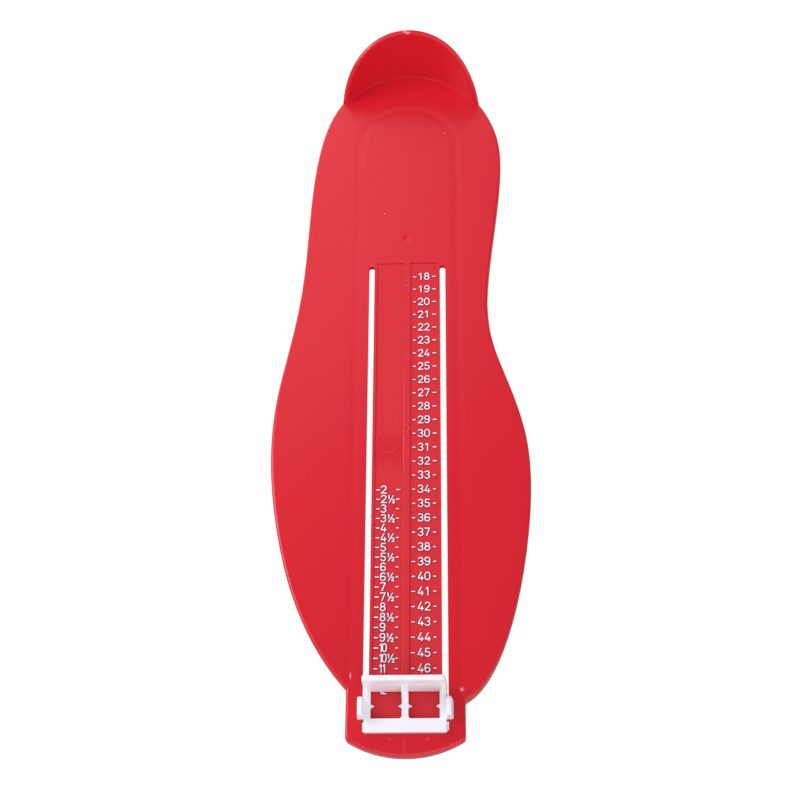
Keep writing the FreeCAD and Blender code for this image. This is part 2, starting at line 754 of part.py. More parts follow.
def add_guides(body):
    """Short round pins and longer tongues that keep the slider straight in the slots."""
    guides = new_sketch(body, "GuideSketch", "XY_Plane", "Places.slide_level")
    for side in ("", "-"):
        gauge = side + "Sizes.slot_gauge"
        add_rounded_slot(guides, gauge, "-Places.tongue_first", "-Places.tongue_last",
                         "Places.guide_half")
        place = (gauge, "-Places.pin_at")
        radius = number("Places.guide_half")
        circle = guides.addGeometry(
            Part.Circle(point(place), FreeCAD.Vector(0, 0, 1), radius), False)
        pin(guides, circle, 3, place)
        set_radius(guides, circle, "Places.guide_half")
    pad(body, "Guides", guides, "Places.guide_depth", reverse=True)


def add_legs(body):
    """Finger ears that carry on down through the slots as spring legs with hooks."""
    legs = new_sketch(body, "LegSketch", "XZ_Plane", "Places.leg_start")
    for side in ("", "-"):
        add_polygon(legs, [
            (side + "Places.leg_inner", "Places.hook_bottom"),
            (side + "Places.hook_tip_out", "Places.hook_bottom"),
            (side + "Places.hook_out", "Places.hook_shoulder"),
            (side + "Places.hook_out", "Places.hook_top"),
            (side + "Places.leg_outer", "Places.hook_top"),
            (side + "Places.leg_outer", "Places.ear_foot"),
            (side + "Places.ear_foot_out", "Places.ear_foot"),
            (side + "Places.ear_top_out", "Places.ear_top"),
            (side + "Places.frame_out", "Places.ear_top"),
            (side + "Places.frame_out", "Places.frame_top"),
            (side + "Places.leg_inner", "Places.frame_top"),
        ])
    pad(body, "Legs", legs, "Sizes.leg_length")


def round_slider(body):
    ear_top = number("Places.ear_top")
    frame_top = number("Places.frame_top")
    frame_out = number("Places.frame_out")
    frame_end = -number("Places.frame_end")

    def at_ear_end(edge):
        return is_along(edge, "X") and abs(middle_of(edge).z - ear_top) < NEAR

    def at_ear_top(edge):
        return is_along(edge, "Y") and abs(middle_of(edge).z - ear_top) < NEAR

    def at_frame_corner(edge):
        place = middle_of(edge)
        at_corner = abs(abs(place.x) - frame_out) < NEAR and abs(place.y - frame_end) < NEAR
        return is_along(edge, "Z") and at_corner

    def at_frame_end(edge):
        place = middle_of(edge)
        at_end = abs(place.y - frame_end) < NEAR and abs(place.z - frame_top) < NEAR
        return is_along(edge, "X") and at_end
    round_edges(body, "EarEnds", "Sizes.ear_end_round", at_ear_end)
    bevel_edges(body, "EarTops", "Sizes.ear_top_bevel", at_ear_top)
    round_edges(body, "FrameCorners", "Sizes.frame_corner_round", at_frame_corner)
    bevel_edges(body, "FrameEdge", "Sizes.frame_edge_bevel", at_frame_end)


def build_toe_slider():
    body = new_body("toe_slider")
    frame = new_sketch(body, "FrameSketch", "XY_Plane", "Places.slide_level")
    add_rectangle(frame, "-Places.frame_out", "Places.frame_out",
                  "-Places.frame_end", "-Places.wall_at")
    pad(body, "Frame", frame, "Sizes.frame_thick")
    add_wall(body)
    add_gussets(body)
    add_windows(body)
    add_guides(body)
    add_legs(body)
    round_slider(body)
    return body


# ---------------------------------------------------------------- place, check and write

def place_pieces(pieces):
    """Move the origin from the drawing's heel end to the middle of the plate's underside."""
    box = pieces[0].Shape.optimalBoundingBox(False)
    shift = FreeCAD.Vector(-(box.XMin + box.XMax) / 2, -(box.YMin + box.YMax) / 2, 0)
    for piece in pieces:
        piece.Placement = FreeCAD.Placement(shift, FreeCAD.Rotation())
    doc.recompute()


def check_document(pieces):
    for item in doc.Objects:
        if "Invalid" in item.State or "Error" in item.State:
            raise ValueError("%s is in state %s" % (item.Name, item.State))
        if hasattr(item, "Shape") and item.Shape.isNull():
            raise ValueError("%s has no shape" % item.Name)
    for piece in pieces:
        if not piece.Shape.isValid() or len(piece.Shape.Solids) != 1:
            raise ValueError("%s is not one valid solid" % piece.Label)


PIECES = [build_foot_plate(), build_toe_slider()]
place_pieces(PIECES)
check_document(PIECES)
os.makedirs("parts", exist_ok=True)
for piece in PIECES:
    piece.Shape.exportStep("parts/%s.step" % piece.Label)
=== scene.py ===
import math

import bpy
from mathutils import Matrix, Vector


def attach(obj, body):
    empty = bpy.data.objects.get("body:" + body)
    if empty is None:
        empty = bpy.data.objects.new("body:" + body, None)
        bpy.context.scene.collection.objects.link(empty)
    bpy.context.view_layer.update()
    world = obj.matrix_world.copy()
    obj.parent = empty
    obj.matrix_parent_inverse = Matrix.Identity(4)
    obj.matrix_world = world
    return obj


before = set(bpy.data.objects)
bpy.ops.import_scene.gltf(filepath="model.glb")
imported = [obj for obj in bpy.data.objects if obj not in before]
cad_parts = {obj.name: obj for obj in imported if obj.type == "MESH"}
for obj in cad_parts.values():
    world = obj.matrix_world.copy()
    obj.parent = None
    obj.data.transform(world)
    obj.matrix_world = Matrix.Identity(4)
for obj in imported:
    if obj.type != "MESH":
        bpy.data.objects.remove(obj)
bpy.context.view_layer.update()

MM = 0.001

# Board sizes are in millimetres. A place on the board is "across", from the centre line between the
# slots, and "at", from the inside of the heel cup towards the toes. The centre line is the middle of
# the slider, and the plate's toe end, where its y is lowest, is PLATE_REACH from the heel cup. Both
# are read from the frame, in metres, to the micrometre.
PLATE_REACH = 337.8
TOP = 5.0
PANEL_FLOOR = 4.5
SLIDER_SIDES = [corner[0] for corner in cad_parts["toe_slider"].bound_box]
PLATE_ENDS = [corner[1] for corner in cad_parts["foot_plate"].bound_box]
CENTRE_X = round((min(SLIDER_SIDES) + max(SLIDER_SIDES)) / 2, 6)
HEEL_Y = round(min(PLATE_ENDS) + PLATE_REACH * MM, 6)


def spot(across, at, z=TOP):
    """Point of the frame, in metres, from board sizes in millimetres."""
    return Vector((CENTRE_X + across * MM, HEEL_Y - at * MM, z * MM))


def between(near, far, share):
    """Value on the way from near to far."""
    return near + (far - near) * share


def linear(*srgb):
    """Linear colour from 0-255 screen values."""
    steps = [value / 255 for value in srgb]
    return tuple(v / 12.92 if v <= 0.04045 else ((v + 0.055) / 1.055) ** 2.4 for v in steps) + (1.0,)


# ---------------------------------------------------------------- node helpers

class Graph:
    """Small wrapper that builds a node tree from nested calls."""

    def __init__(self, tree):
        self.tree = tree
        tree.nodes.clear()

    def add(self, kind, inputs=None, **settings):
        """New node: inputs are sockets to link or plain values, by name or number."""
        node = self.tree.nodes.new(kind)
        for name, value in settings.items():
            setattr(node, name, value)
        for key, value in (inputs or {}).items():
            if isinstance(value, bpy.types.NodeSocket):
                self.tree.links.new(value, node.inputs[key])
            else:
                node.inputs[key].default_value = value
        return node

    def coords(self):
        """Object coordinates, which are the frame's own, in metres."""
        return self.add("ShaderNodeTexCoord").outputs["Object"]

    def math(self, operation, *values):
        return self.add("ShaderNodeMath", dict(enumerate(values)), operation=operation).outputs[0]

    def vector(self, operation, *values):
        node = self.add("ShaderNodeVectorMath", dict(enumerate(values)), operation=operation)
        single = operation in ("LENGTH", "DISTANCE", "DOT_PRODUCT")
        return node.outputs["Value" if single else "Vector"]

    def times(self, first, *others):
        """Product of two or more values."""
        for value in others:
            first = self.math("MULTIPLY", first, value)
        return first

    def total(self, first, *others):
        """Sum of two or more values."""
        for value in others:
            first = self.math("ADD", first, value)
        return first

    def gap(self, value, middle):
        """How far a value lies from another, on either side."""
        return self.math("ABSOLUTE", self.math("SUBTRACT", value, middle))

    def reach(self, x, y):
        """Length of a flat arrow."""
        arrow = self.add("ShaderNodeCombineXYZ", {"X": x, "Y": y})
        return self.vector("LENGTH", arrow.outputs["Vector"])

    def ramp(self, value, low, high, to_low=0.0, to_high=1.0, kind="SMOOTHSTEP"):
        """to_low up to low, to_high from high on, and the way between them in the middle."""
        node = self.add("ShaderNodeMapRange", {
            "Value": value, "From Min": low, "From Max": high,
            "To Min": to_low, "To Max": to_high}, interpolation_type=kind)
        return node.outputs["Result"]

    def fade(self, value, low, high):
        """1 up to low, and 0 from high on."""
        return self.ramp(value, low, high, 1.0, 0.0)

    def window(self, value, rise, fall):
        """1 between a rise and a fall, each given by where it starts and ends, and 0 past them."""
        return self.times(self.ramp(value, *rise), self.fade(value, *fall))

    def noise(self, coords, scale, detail=2.0, rough=0.5):
        node = self.add("ShaderNodeTexNoise", {
            "Vector": coords, "Scale": scale, "Detail": detail, "Roughness": rough})
        return node.outputs["Fac"]

    def mix(self, share, first, second):
        """Colour on the way from first to second."""
        node = self.add("ShaderNodeMix", {"Factor": share, "A": first, "B": second}, data_type="RGBA")
        return node.outputs["Result"]

    def plastic(self, colour, roughness, ior, height, **more):
        """Plastic surface with bump, whose height is in millimetres."""
        bump = self.add("ShaderNodeBump", {"Strength": 1.0, "Distance": MM, "Height": height})
        shader = self.add("ShaderNodeBsdfPrincipled", {
            "Base Color": colour, "Roughness": roughness, "IOR": ior,
            "Normal": bump.outputs["Normal"], **more})
        self.add("ShaderNodeOutputMaterial", {"Surface": shader.outputs["BSDF"]})


def new_material(name):
    """Empty node material and the graph that fills it."""
    material = bpy.data.materials.new(name)
    material.use_nodes = True
    return material, Graph(material.node_tree)


def dress(obj, material):
    """Gives an object one material in place of those it has."""
    obj.data.materials.clear()
    obj.data.materials.append(material)


# ---------------------------------------------------------------- red plastic

RED = (linear(211, 22, 38), linear(213, 24, 40))
RED_IOR = 1.5
GRAIN_SCALE = 2600.0
GRAIN_HEIGHT = 0.0012
# Roughness of most of it, of the strip between the slots and of the round at the cup's foot.
GLOSSY, SATIN, DULL = 0.26, 0.6, 0.9
# The marks of the mould are on the top alone, which starts between these heights.
TOP_STARTS = (PANEL_FLOOR - 0.5, PANEL_FLOOR - 0.1)

# The U-shaped rib under the plate: where its round heel end starts, and half its width. The valley
# that the moulding sank over it has a half width and a height of its own.
RIB_BEND = 43.6
RIB_SIDE = 23.4
VALLEY_SIDE = 3.2
VALLEY_HEIGHT = -0.07

# Round sink marks and hair-line rings: place, radius and height. A hair line is as wide as RING_LINE
# to each side, and fully polished from RING_POLISH of its height up.
SINKS = (
    ((-0.1, 93.8), 2.4, -0.22),
    ((-6.6, 330.8), 1.6, -0.05),
    ((9.3, 330.5), 1.6, -0.05),
    ((-21.9, 304.4), 2.6, -0.16),
    ((22.6, 310.6), 2.4, -0.22),
)
RINGS = (
    ((0.2, 117.9), 1.6, 0.14),
    ((0.1, 192.3), 1.45, 0.14),
    ((-8.0, 198.6), 5.0, 0.08),
)
RING_LINE = 0.5
RING_POLISH = 0.3

# Pale marks in the red, some of them flecks and some painted highlights: place, half sizes across
# and along the board, and strength, which a mark has in full up to FLECK_CORE of its size.
FLECK_AND_HIGHLIGHT_COLOUR = linear(250, 205, 215)
FLECK_CORE = 0.2
FLECKS_AND_HIGHLIGHTS = (
    ((-0.1, -2.3, 37.3), (1.7, 1.0), 0.85),
    ((1.4, -1.9, 36.9), (1.9, 1.1), 0.9),
    ((18.1, 34.4, 5.0), (0.4, 0.4), 0.8),
    ((-11.0, 79.8, 5.0), (0.35, 0.35), 0.8),
    # Painted highlights, where light catches the sink marks at the plate's neck.
    ((-22.9, 304.2, 5.0), (0.7, 2.0), 0.38),
    ((23.3, 310.4, 5.0), (1.1, 1.2), 0.42),
    ((-6.6, 330.6, 5.0), (1.1, 1.0), 0.06),
    ((8.9, 330.7, 5.0), (1.6, 1.0), 0.06),
    ((-0.5, 333.6, 5.0), (0.8, 4.5), 0.04),
)

# The middle ridge's edge beside the left panel: its place across, then, from there inwards, where
# it sets in, how wide it is rounded and how wide it is polished. Along the board it fades in and
# out at its ends, and its height changes between two places.
RIDGE_EDGE = -1.5
EDGE_START = -0.05
EDGE_ROUND = 0.45
EDGE_POLISH = (0.5, 0.6)
EDGE_ENDS = ((108.0, 109.0), (320.0, 322.0))
EDGE_CHANGE = (196.0, 218.0)
EDGE_HEIGHTS = (-0.15, -0.09)

# The heel cup: where its axis stands across and along the board, and its outer radius, which grows
# with the height. Its rim is rounded off between two distances from that outside.
CUP_ACROSS = 0.5
CUP_AT = 37.8
CUP_OUTSIDE = 39.83
CUP_LEAN = 0.014
RIM_ROUND = (0.3, 1.1)
RIM_HEIGHT = -0.45
CUP_STARTS = (TOP + 1.0, TOP + 2.0)

# The small round at the cup's foot: between which heights it is, and the shade painted on it as a
# deeper red, which fades out across the board towards the right.
FOOT_RISE = (TOP + 0.01, TOP + 0.05)
FOOT_FALL = (TOP + 0.40, TOP + 0.45)
FOOT_SHADE_COLOUR = linear(128, 10, 22)
FOOT_SHADE_STRENGTH = 0.12
FOOT_SHADE_FADE = (-7.9, 25.1)

# The satin strip between the slots: how far it goes to each side, and how it fades at its ends. The
# polished patch in its left panel: its middle, the fade towards the ridge and that along the board.
STRIP_SIDE = (15.0, 15.2)
STRIP_ENDS = ((105.0, 140.0), (323.0, 328.0))
PATCH_AT = 202.0
PATCH_SIDE = (-2.0, RIDGE_EDGE)
PATCH_REACH = (1.0, 15.0)


def valley(g, across, at):
    """Height of the valley over the U-shaped rib, whose heel end is round."""
    past_bend = g.math("MAXIMUM", g.math("SUBTRACT", RIB_BEND, at), 0.0)
    off_line = g.gap(g.reach(across, past_bend), RIB_SIDE)
    return g.times(g.fade(off_line, 0.0, VALLEY_SIDE), VALLEY_HEIGHT)


def sinks(g, board):
    """Height of the round sink marks."""
    height = 0.0
    for place, radius, depth in SINKS:
        distance = g.vector("DISTANCE", board, (*place, TOP))
        height = g.total(height, g.times(g.fade(distance, 0.0, radius), depth))
    return height


def rings(g, board):
    """Height of the hair-line rings, and 1 on their lines."""
    height = 0.0
    line = 0.0
    for place, radius, lift in RINGS:
        distance = g.vector("DISTANCE", board, (*place, TOP))
        hair = g.fade(g.gap(distance, radius), 0.0, RING_LINE)
        height = g.total(height, g.times(hair, lift))
        line = g.math("MAXIMUM", line, hair)
    return height, g.ramp(line, 0.0, RING_POLISH)


def ridge_edge(g, across, at):
    """Height of the ridge's edge, which is rounded off, and 1 where it is polished."""
    inward = g.math("SUBTRACT", across, RIDGE_EDGE)
    on_ridge = g.ramp(inward, EDGE_START, 0.0)
    height = g.times(on_ridge, g.fade(inward, 0.0, EDGE_ROUND), g.window(at, *EDGE_ENDS),
                     g.ramp(at, *EDGE_CHANGE, *EDGE_HEIGHTS))
    return height, g.times(on_ridge, g.fade(inward, *EDGE_POLISH))


def rim(g, across, at, z):
    """Height of the heel cup's rim, which is rounded off towards its leaning outside."""
    radius = g.reach(g.math("SUBTRACT", across, CUP_ACROSS), g.math("SUBTRACT", at, CUP_AT))
    outside = g.total(g.times(z, CUP_LEAN), CUP_OUTSIDE)
    fall = g.ramp(g.math("SUBTRACT", outside, radius), *RIM_ROUND, RIM_HEIGHT, 0.0)
    return g.times(g.ramp(z, *CUP_STARTS), fall)


def satin_strip(g, across, at, polished):
    """1 on the strip between the slots, apart from its polished places."""
    strip = g.times(g.fade(g.gap(across, 0.0), *STRIP_SIDE), g.window(at, *STRIP_ENDS))
    patch = g.times(g.fade(across, *PATCH_SIDE), g.fade(g.gap(at, PATCH_AT), *PATCH_REACH))
    return g.times(strip, g.math("SUBTRACT", 1.0, g.math("MAXIMUM", polished, patch)))


def flecked(g, colour, board):
    """The colour with its pale flecks and painted highlights."""
    for place, (wide, long), strength in FLECKS_AND_HIGHLIGHTS:
        away = g.vector("MULTIPLY", g.vector("SUBTRACT", board, place), (1 / wide, 1 / long, 1 / long))
        pale_mark = g.ramp(g.vector("LENGTH", away), FLECK_CORE, 1.0, strength, 0.0)
        colour = g.mix(pale_mark, colour, FLECK_AND_HIGHLIGHT_COLOUR)
    return colour


def red_plastic():
    """Red plastic with the traces of its mould, painted highlights and a painted shade: glossy, but
    satin between the slots.
    """
    material, g = new_material("red_moulded_plastic")
    coords = g.coords()
    board = g.vector("MULTIPLY", g.vector("SUBTRACT", coords, spot(0, 0, 0)), (1 / MM, -1 / MM, 1 / MM))
    parts = g.add("ShaderNodeSeparateXYZ", {"Vector": board})
    across, at, z = (parts.outputs[axis] for axis in "XYZ")

    ring_height, on_ring = rings(g, board)
    edge_height, on_edge = ridge_edge(g, across, at)
    marks = g.total(valley(g, across, at), sinks(g, board), ring_height, edge_height)
    marks = g.times(marks, g.ramp(z, *TOP_STARTS))
    grain = g.noise(coords, GRAIN_SCALE)
    height = g.total(marks, rim(g, across, at, z), g.times(grain, GRAIN_HEIGHT))

    foot = g.window(z, FOOT_RISE, FOOT_FALL)
    satin = satin_strip(g, across, at, g.math("MAXIMUM", on_ring, on_edge))
    roughness = g.math("MAXIMUM", g.ramp(foot, 0.0, 1.0, GLOSSY, DULL, "LINEAR"),
                       g.ramp(satin, 0.0, 1.0, GLOSSY, SATIN, "LINEAR"))
    # Painted shade: the round at the cup's foot is darkened, most on the left.
    painted_foot_shade = g.times(foot, g.ramp(across, *FOOT_SHADE_FADE, FOOT_SHADE_STRENGTH, 0.0))
    colour = g.mix(painted_foot_shade, flecked(g, g.mix(grain, *RED), board), FOOT_SHADE_COLOUR)
    g.plastic(colour, roughness, RED_IOR, height)
    return material


# ---------------------------------------------------------------- other materials

# White plastic: scale and height of the waves from its flow and of its grain, the waves' range that
# its roughness follows, and how light gets into it.
WHITE = (linear(248, 246, 250), linear(251, 249, 253))
WHITE_IOR = 1.49
FLOW_SCALE, FLOW_HEIGHT = 90.0, 0.10
FINE_SCALE, FINE_HEIGHT = 3000.0, 0.004
FLOW_RANGE = (0.3, 0.7)
WHITE_ROUGHNESS = (0.30, 0.38)
LIGHT_INSIDE = {"Subsurface Weight": 0.15, "Subsurface Scale": 0.002}

# The figures: foil whose colour follows its wear, and beside it red plastic darkened as painted
# shade. The wear is a noise with a scale, a detail and a roughness.
FOIL = (linear(255, 227, 236), linear(255, 240, 247))
FOIL_IOR = 1.45
FOIL_ROUGHNESS = 0.45
WEAR_NOISE = (900.0, 3.0, 0.6)
WEAR_RANGE = (0.35, 0.65)
WEAR_HEIGHT = 0.03
# Painted shade: the flanks' red is much darker than the board's.
FLANK_SHADE_RED = linear(104, 4, 20)
BARE_ROUGHNESS = 0.5
BARE_HEIGHT = 0.01


def white_plastic():
    """White plastic of the slider: a little see-through, with faint waves from its flow."""
    material, g = new_material("white_moulded_plastic")
    coords = g.coords()
    flow = g.noise(coords, FLOW_SCALE)
    grain = g.noise(coords, FINE_SCALE)
    height = g.total(g.times(flow, FLOW_HEIGHT), g.times(grain, FINE_HEIGHT))
    roughness = g.ramp(flow, *FLOW_RANGE, *WHITE_ROUGHNESS)
    g.plastic(g.mix(flow, *WHITE), roughness, WHITE_IOR, height, **LIGHT_INSIDE)
    return material


def mark_white():
    """White foil on the crowns of the figures, a little worn."""
    material, g = new_material("white_mark_foil")
    wear = g.noise(g.coords(), *WEAR_NOISE)
    colour = g.mix(g.ramp(wear, *WEAR_RANGE), *FOIL)
    g.plastic(colour, FOIL_ROUGHNESS, FOIL_IOR, g.times(wear, WEAR_HEIGHT))
    return material


def mark_red():
    """Red plastic on the flanks of the figures, darkened as painted shade."""
    material, g = new_material("red_flanks_painted_shade")
    grain = g.noise(g.coords(), GRAIN_SCALE)
    g.plastic(FLANK_SHADE_RED, BARE_ROUGHNESS, RED_IOR, g.times(grain, BARE_HEIGHT))
    return material


# ---------------------------------------------------------------- size marks

def arc(cx, cy, rx, ry, start, stop, steps=12):
    """Points of an ellipse arc, angles in degrees."""
    points = []
    for i in range(steps + 1):
        turn = math.radians(start + (stop - start) * i / steps)
        points.append((cx + rx * math.cos(turn), cy + ry * math.sin(turn)))
    return points


# Figures as runs of a pen, on a cell 1 high and about 0.56 wide, with the base line at 0.
FIGURES = {
    "0": [arc(0.28, 0.66, 0.25, 0.31, 0, 180) + arc(0.28, 0.34, 0.25, 0.31, 180, 360)
          + [(0.53, 0.66)]],
    "1": [[(0.13, 0.78), (0.33, 0.97), (0.33, 0.03)]],
    "2": [arc(0.28, 0.70, 0.24, 0.27, 165, -30) + [(0.04, 0.03), (0.54, 0.03)]],
    "3": [arc(0.27, 0.73, 0.23, 0.24, 150, -90) + arc(0.27, 0.27, 0.25, 0.25, 90, -155)],
    "4": [[(0.34, 0.97), (0.04, 0.24), (0.55, 0.24)], [(0.42, 0.48), (0.42, 0.03)]],
    "5": [[(0.49, 0.97), (0.11, 0.97), (0.08, 0.56)] + arc(0.27, 0.30, 0.25, 0.28, 125, -155)],
    "6": [arc(0.30, 0.60, 0.26, 0.37, 40, 180) + arc(0.28, 0.29, 0.25, 0.26, 180, 540, 24)],
    "7": [[(0.04, 0.97), (0.52, 0.97), (0.20, 0.03)]],
    "8": [arc(0.28, 0.75, 0.21, 0.22, -90, 270, 24), arc(0.28, 0.28, 0.25, 0.25, 90, 450, 24)],
    "9": [arc(0.26, 0.40, 0.26, 0.37, 220, 360) + arc(0.28, 0.71, 0.25, 0.26, 0, 360, 24)],
}
# The strokes' middle lines keep this far from the cell's left and base, and span this much of it.
CELL_EDGE = 0.03
CELL_WIDE = 0.5
CELL_TALL = 0.94

# Cross sections of a raised figure: across in half widths, then height over the panel's floor.
# The white foil lies on the crown, and the flanks below it spread wider and are red plastic darkened as
# painted shade.
CROWN = ((-1.0, 0.34), (-0.75, 0.39), (0.0, 0.42), (0.75, 0.39), (1.0, 0.34))
FLANKS = ((-2.15, -0.02), (-0.98, 0.335), (0.98, 0.335), (2.15, -0.02))
# Stations of a stroke: their angles round its end, from the tip inwards, and the most that they
# are apart along it, in half widths.
END_CAP = tuple(math.radians(angle) for angle in (88, 60, 30))
STATION_STEP = 0.9
# In millimetres, the length of a run that is left out, and the gap at which a path counts as closed.
NO_LENGTH = 1e-6
CLOSED_GAP = 1e-3

# Both scales: their sizes or steps, the place of the first one and the step along the board. What
# drifts sideways along a scale has two values, for its near place and for one a span further on.
# Figures have a width, a height and a stroke, and stand a little off their ticks.
TICK_STROKE = 0.52
EUROPEAN_SIZES = range(18, 48)
EUROPEAN_AT = 114.62
EUROPEAN_STEP = 6.667
EUROPEAN_NEAR = 115.0
EUROPEAN_SPAN = 100.0
EUROPEAN_INNER_TICK = ((2.85, 2.52), (4.2, 4.03))
EUROPEAN_OUTER_LEFT = 11.6
LONG_OUTER_RIGHT = 13.45
SHORT_OUTER_RIGHT = 12.98
LONG_TICKS_TO = 212.0
EUROPEAN_FIGURE = (2.58, 3.86, 0.50)
EUROPEAN_LEFTS = (4.98, 7.88)
EUROPEAN_OFF = -0.14

ENGLISH_FIRST = 2
ENGLISH_STEPS = range(21)
ENGLISH_AT = 221.38
ENGLISH_STEP = 4.444
ENGLISH_NEAR = 221.0
ENGLISH_SPAN = 80.0
ENGLISH_OUTER_LEFT = (-13.15, -13.55)
ENGLISH_OUTER_RIGHT = -11.47
ENGLISH_INNER_LEFT = -4.45
ENGLISH_INNER_RIGHT = -3.15
FIRST_INNER_RIGHT = -2.55
FIRST_INNER_CHANGE = -0.3
SINGLE_LEFT = (-11.2, -10.9)
SINGLE_WIDTH = (2.7, 2.4)
ENGLISH_FIGURE = (2.1, 3.9, 0.52)
ENGLISH_LEFTS = (-11.3, -9.9)
ENGLISH_OFF = -0.12

# The fraction 1/2: its left edge after one digit and after two, its stroke, then, from that edge
# and from its tick, the box of the 1, the ends of the slanting bar and the box of the 2.
HALF_AFTER_ONE = -8.1
HALF_AFTER_TWO = -7.7
HALF_STROKE = 0.46
HALF_ONE = ((-0.1, -0.95), (1.35, 2.1))
HALF_BAR = ((0.65, 1.72), (2.45, -1.70))
HALF_TWO = ((1.75, 0.94), (1.4, 2.05))


def resample(points, step):
    """The same run with points no further apart than step, corners kept."""
    out = [points[0]]
    for a, b in zip(points, points[1:]):
        length = math.dist(a, b)
        if length < NO_LENGTH:
            continue
        count = max(1, math.ceil(length / step))
        for i in range(1, count + 1):
            out.append((between(a[0], b[0], i / count), between(a[1], b[1], i / count)))
    return out


def stroke_rows(points, half):
    """Stations along points, each with its direction and the share of the width it has."""
    path = resample(points, half * STATION_STEP)
    closed = math.dist(path[0], path[-1]) < CLOSED_GAP
    rows = []
    last = len(path) - 1
    for i, (px, py) in enumerate(path):
        before, after = path[max(i - 1, 0)], path[min(i + 1, last)]
        if closed and i in (0, last):
            before, after = path[-2], path[1]
        dx, dy = after[0] - before[0], after[1] - before[1]
        size = math.hypot(dx, dy) or 1.0
        rows.append((px, py, dx / size, dy / size, 1.0))
    if closed:
        return rows
    caps = []
    for (px, py, tx, ty, _), way in ((rows[0], -half), (rows[-1], half)):
        caps.append([(px + tx * way * math.sin(turn), py + ty * way * math.sin(turn),
                      tx, ty, math.cos(turn)) for turn in END_CAP])
    return caps[0] + rows + caps[1][::-1]


def add_stroke(skins, points, width):
    """Raised figure stroke along points, in board millimetres, with round ends."""
    half = width / 2
    rows = stroke_rows(points, half)
    for section, (verts, faces) in zip((CROWN, FLANKS), skins):
        base, count = len(verts), len(section)
        for px, py, tx, ty, share in rows:
            for side, up in section:
                reach = side * half * share
                verts.append(spot(px - ty * reach, py + tx * reach, PANEL_FLOOR + up))
        for i in range(base, base + (len(rows) - 1) * count, count):
            for j in range(i, i + count - 1):
                faces.append((j, j + 1, j + 1 + count, j + count))


def add_tick(skins, left, right, at):
    """Tick across the board between its two ends."""
    add_stroke(skins, [(left + TICK_STROKE / 2, at), (right - TICK_STROKE / 2, at)], TICK_STROKE)


def add_figure(skins, digit, left, at, width, height, stroke):
    """One figure in its box: left edge, distance of its middle from the heel, and sizes in mm."""
    wide, tall = (width - stroke) / CELL_WIDE, height - stroke
    for run in FIGURES[digit]:
        points = [(left + stroke / 2 + (u - CELL_EDGE) * wide,
                   at + tall / 2 - (v - CELL_EDGE) * tall / CELL_TALL) for u, v in run]
        add_stroke(skins, points, stroke)


def add_half(skins, left, at):
    """The fraction 1/2: a raised 1, a slanting bar and a lowered 2."""
    for digit, ((aside, off), box) in (("1", HALF_ONE), ("2", HALF_TWO)):
        add_figure(skins, digit, left + aside, at + off, *box, HALF_STROKE)
    add_stroke(skins, [(left + aside, at + off) for aside, off in HALF_BAR], HALF_STROKE)


def add_european(skins):
    """Sizes 18 and up on the right panel, a whole size apart."""
    for number, size in enumerate(EUROPEAN_SIZES):
        at = EUROPEAN_AT + number * EUROPEAN_STEP
        share = (at - EUROPEAN_NEAR) / EUROPEAN_SPAN
        outer_right = LONG_OUTER_RIGHT if at < LONG_TICKS_TO else SHORT_OUTER_RIGHT
        add_tick(skins, *(between(*end, share) for end in EUROPEAN_INNER_TICK), at)
        add_tick(skins, EUROPEAN_OUTER_LEFT, outer_right, at)
        for digit, left in zip(str(size), EUROPEAN_LEFTS):
            add_figure(skins, digit, left, at + EUROPEAN_OFF, *EUROPEAN_FIGURE)


def add_english(skins):
    """Sizes 2 and up on the left panel, half a size apart. The first inner ticks are longer."""
    for step in ENGLISH_STEPS:
        at = ENGLISH_AT + step * ENGLISH_STEP
        whole, half = ENGLISH_FIRST + step // 2, step % 2
        share = (at - ENGLISH_NEAR) / ENGLISH_SPAN
        inner_right = max(FIRST_INNER_RIGHT + FIRST_INNER_CHANGE * step, ENGLISH_INNER_RIGHT)
        add_tick(skins, between(*ENGLISH_OUTER_LEFT, share), ENGLISH_OUTER_RIGHT, at)
        add_tick(skins, ENGLISH_INNER_LEFT, inner_right, at)
        if whole < 10:
            left, width = between(*SINGLE_LEFT, share), between(*SINGLE_WIDTH, share)
            add_figure(skins, str(whole), left, at + ENGLISH_OFF, width, *ENGLISH_FIGURE[1:])
        else:
            for digit, left in zip(str(whole), ENGLISH_LEFTS):
                add_figure(skins, digit, left, at + ENGLISH_OFF, *ENGLISH_FIGURE)
        if half:
            add_half(skins, HALF_AFTER_ONE if whole < 10 else HALF_AFTER_TWO, at)


def build_skin(name, slot, material, verts, faces):
    """One smooth mesh that rides on the board."""
    mesh = bpy.data.meshes.new(name)
    mesh.from_pydata(verts, [], faces)
    mesh.validate()
    mesh.polygons.foreach_set("use_smooth", [True] * len(mesh.polygons))
    obj = bpy.data.objects.new(name, mesh)
    bpy.context.collection.objects.link(obj)
    dress(obj, material)
    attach(obj, "board")


def build_marks():
    """Both scales, as raised figures with foil on their crowns and flanks darkened as painted shade."""
    crowns, flanks = ([], []), ([], [])
    add_european((crowns, flanks))
    add_english((crowns, flanks))
    build_skin("size_marks", "white_plastic", mark_white(), *crowns)
    build_skin("size_flanks_painted_shade", "red_plastic", mark_red(), *flanks)


# ---------------------------------------------------------------- stage

# The photograph's camera: a place on the board, how far left and up of it in the picture the camera
# looks, in millimetres, its angles in degrees, how far off it stands and how near it sees, both in
# metres, and its lens, from a focal length in pixels of the photograph.
CAMERA_AIM = (-2.75, 178.41)
CAMERA_SHIFT = 0.22
CAMERA_TURN, CAMERA_TILT, CAMERA_ROLL = 6.80, 25.5, -7.17
CAMERA_AWAY = 0.6887
CAMERA_NEAR = 0.01
SENSOR_WIDTH = 36.0
FOCAL_PIXELS = 1534
PHOTO_PIXELS = 800

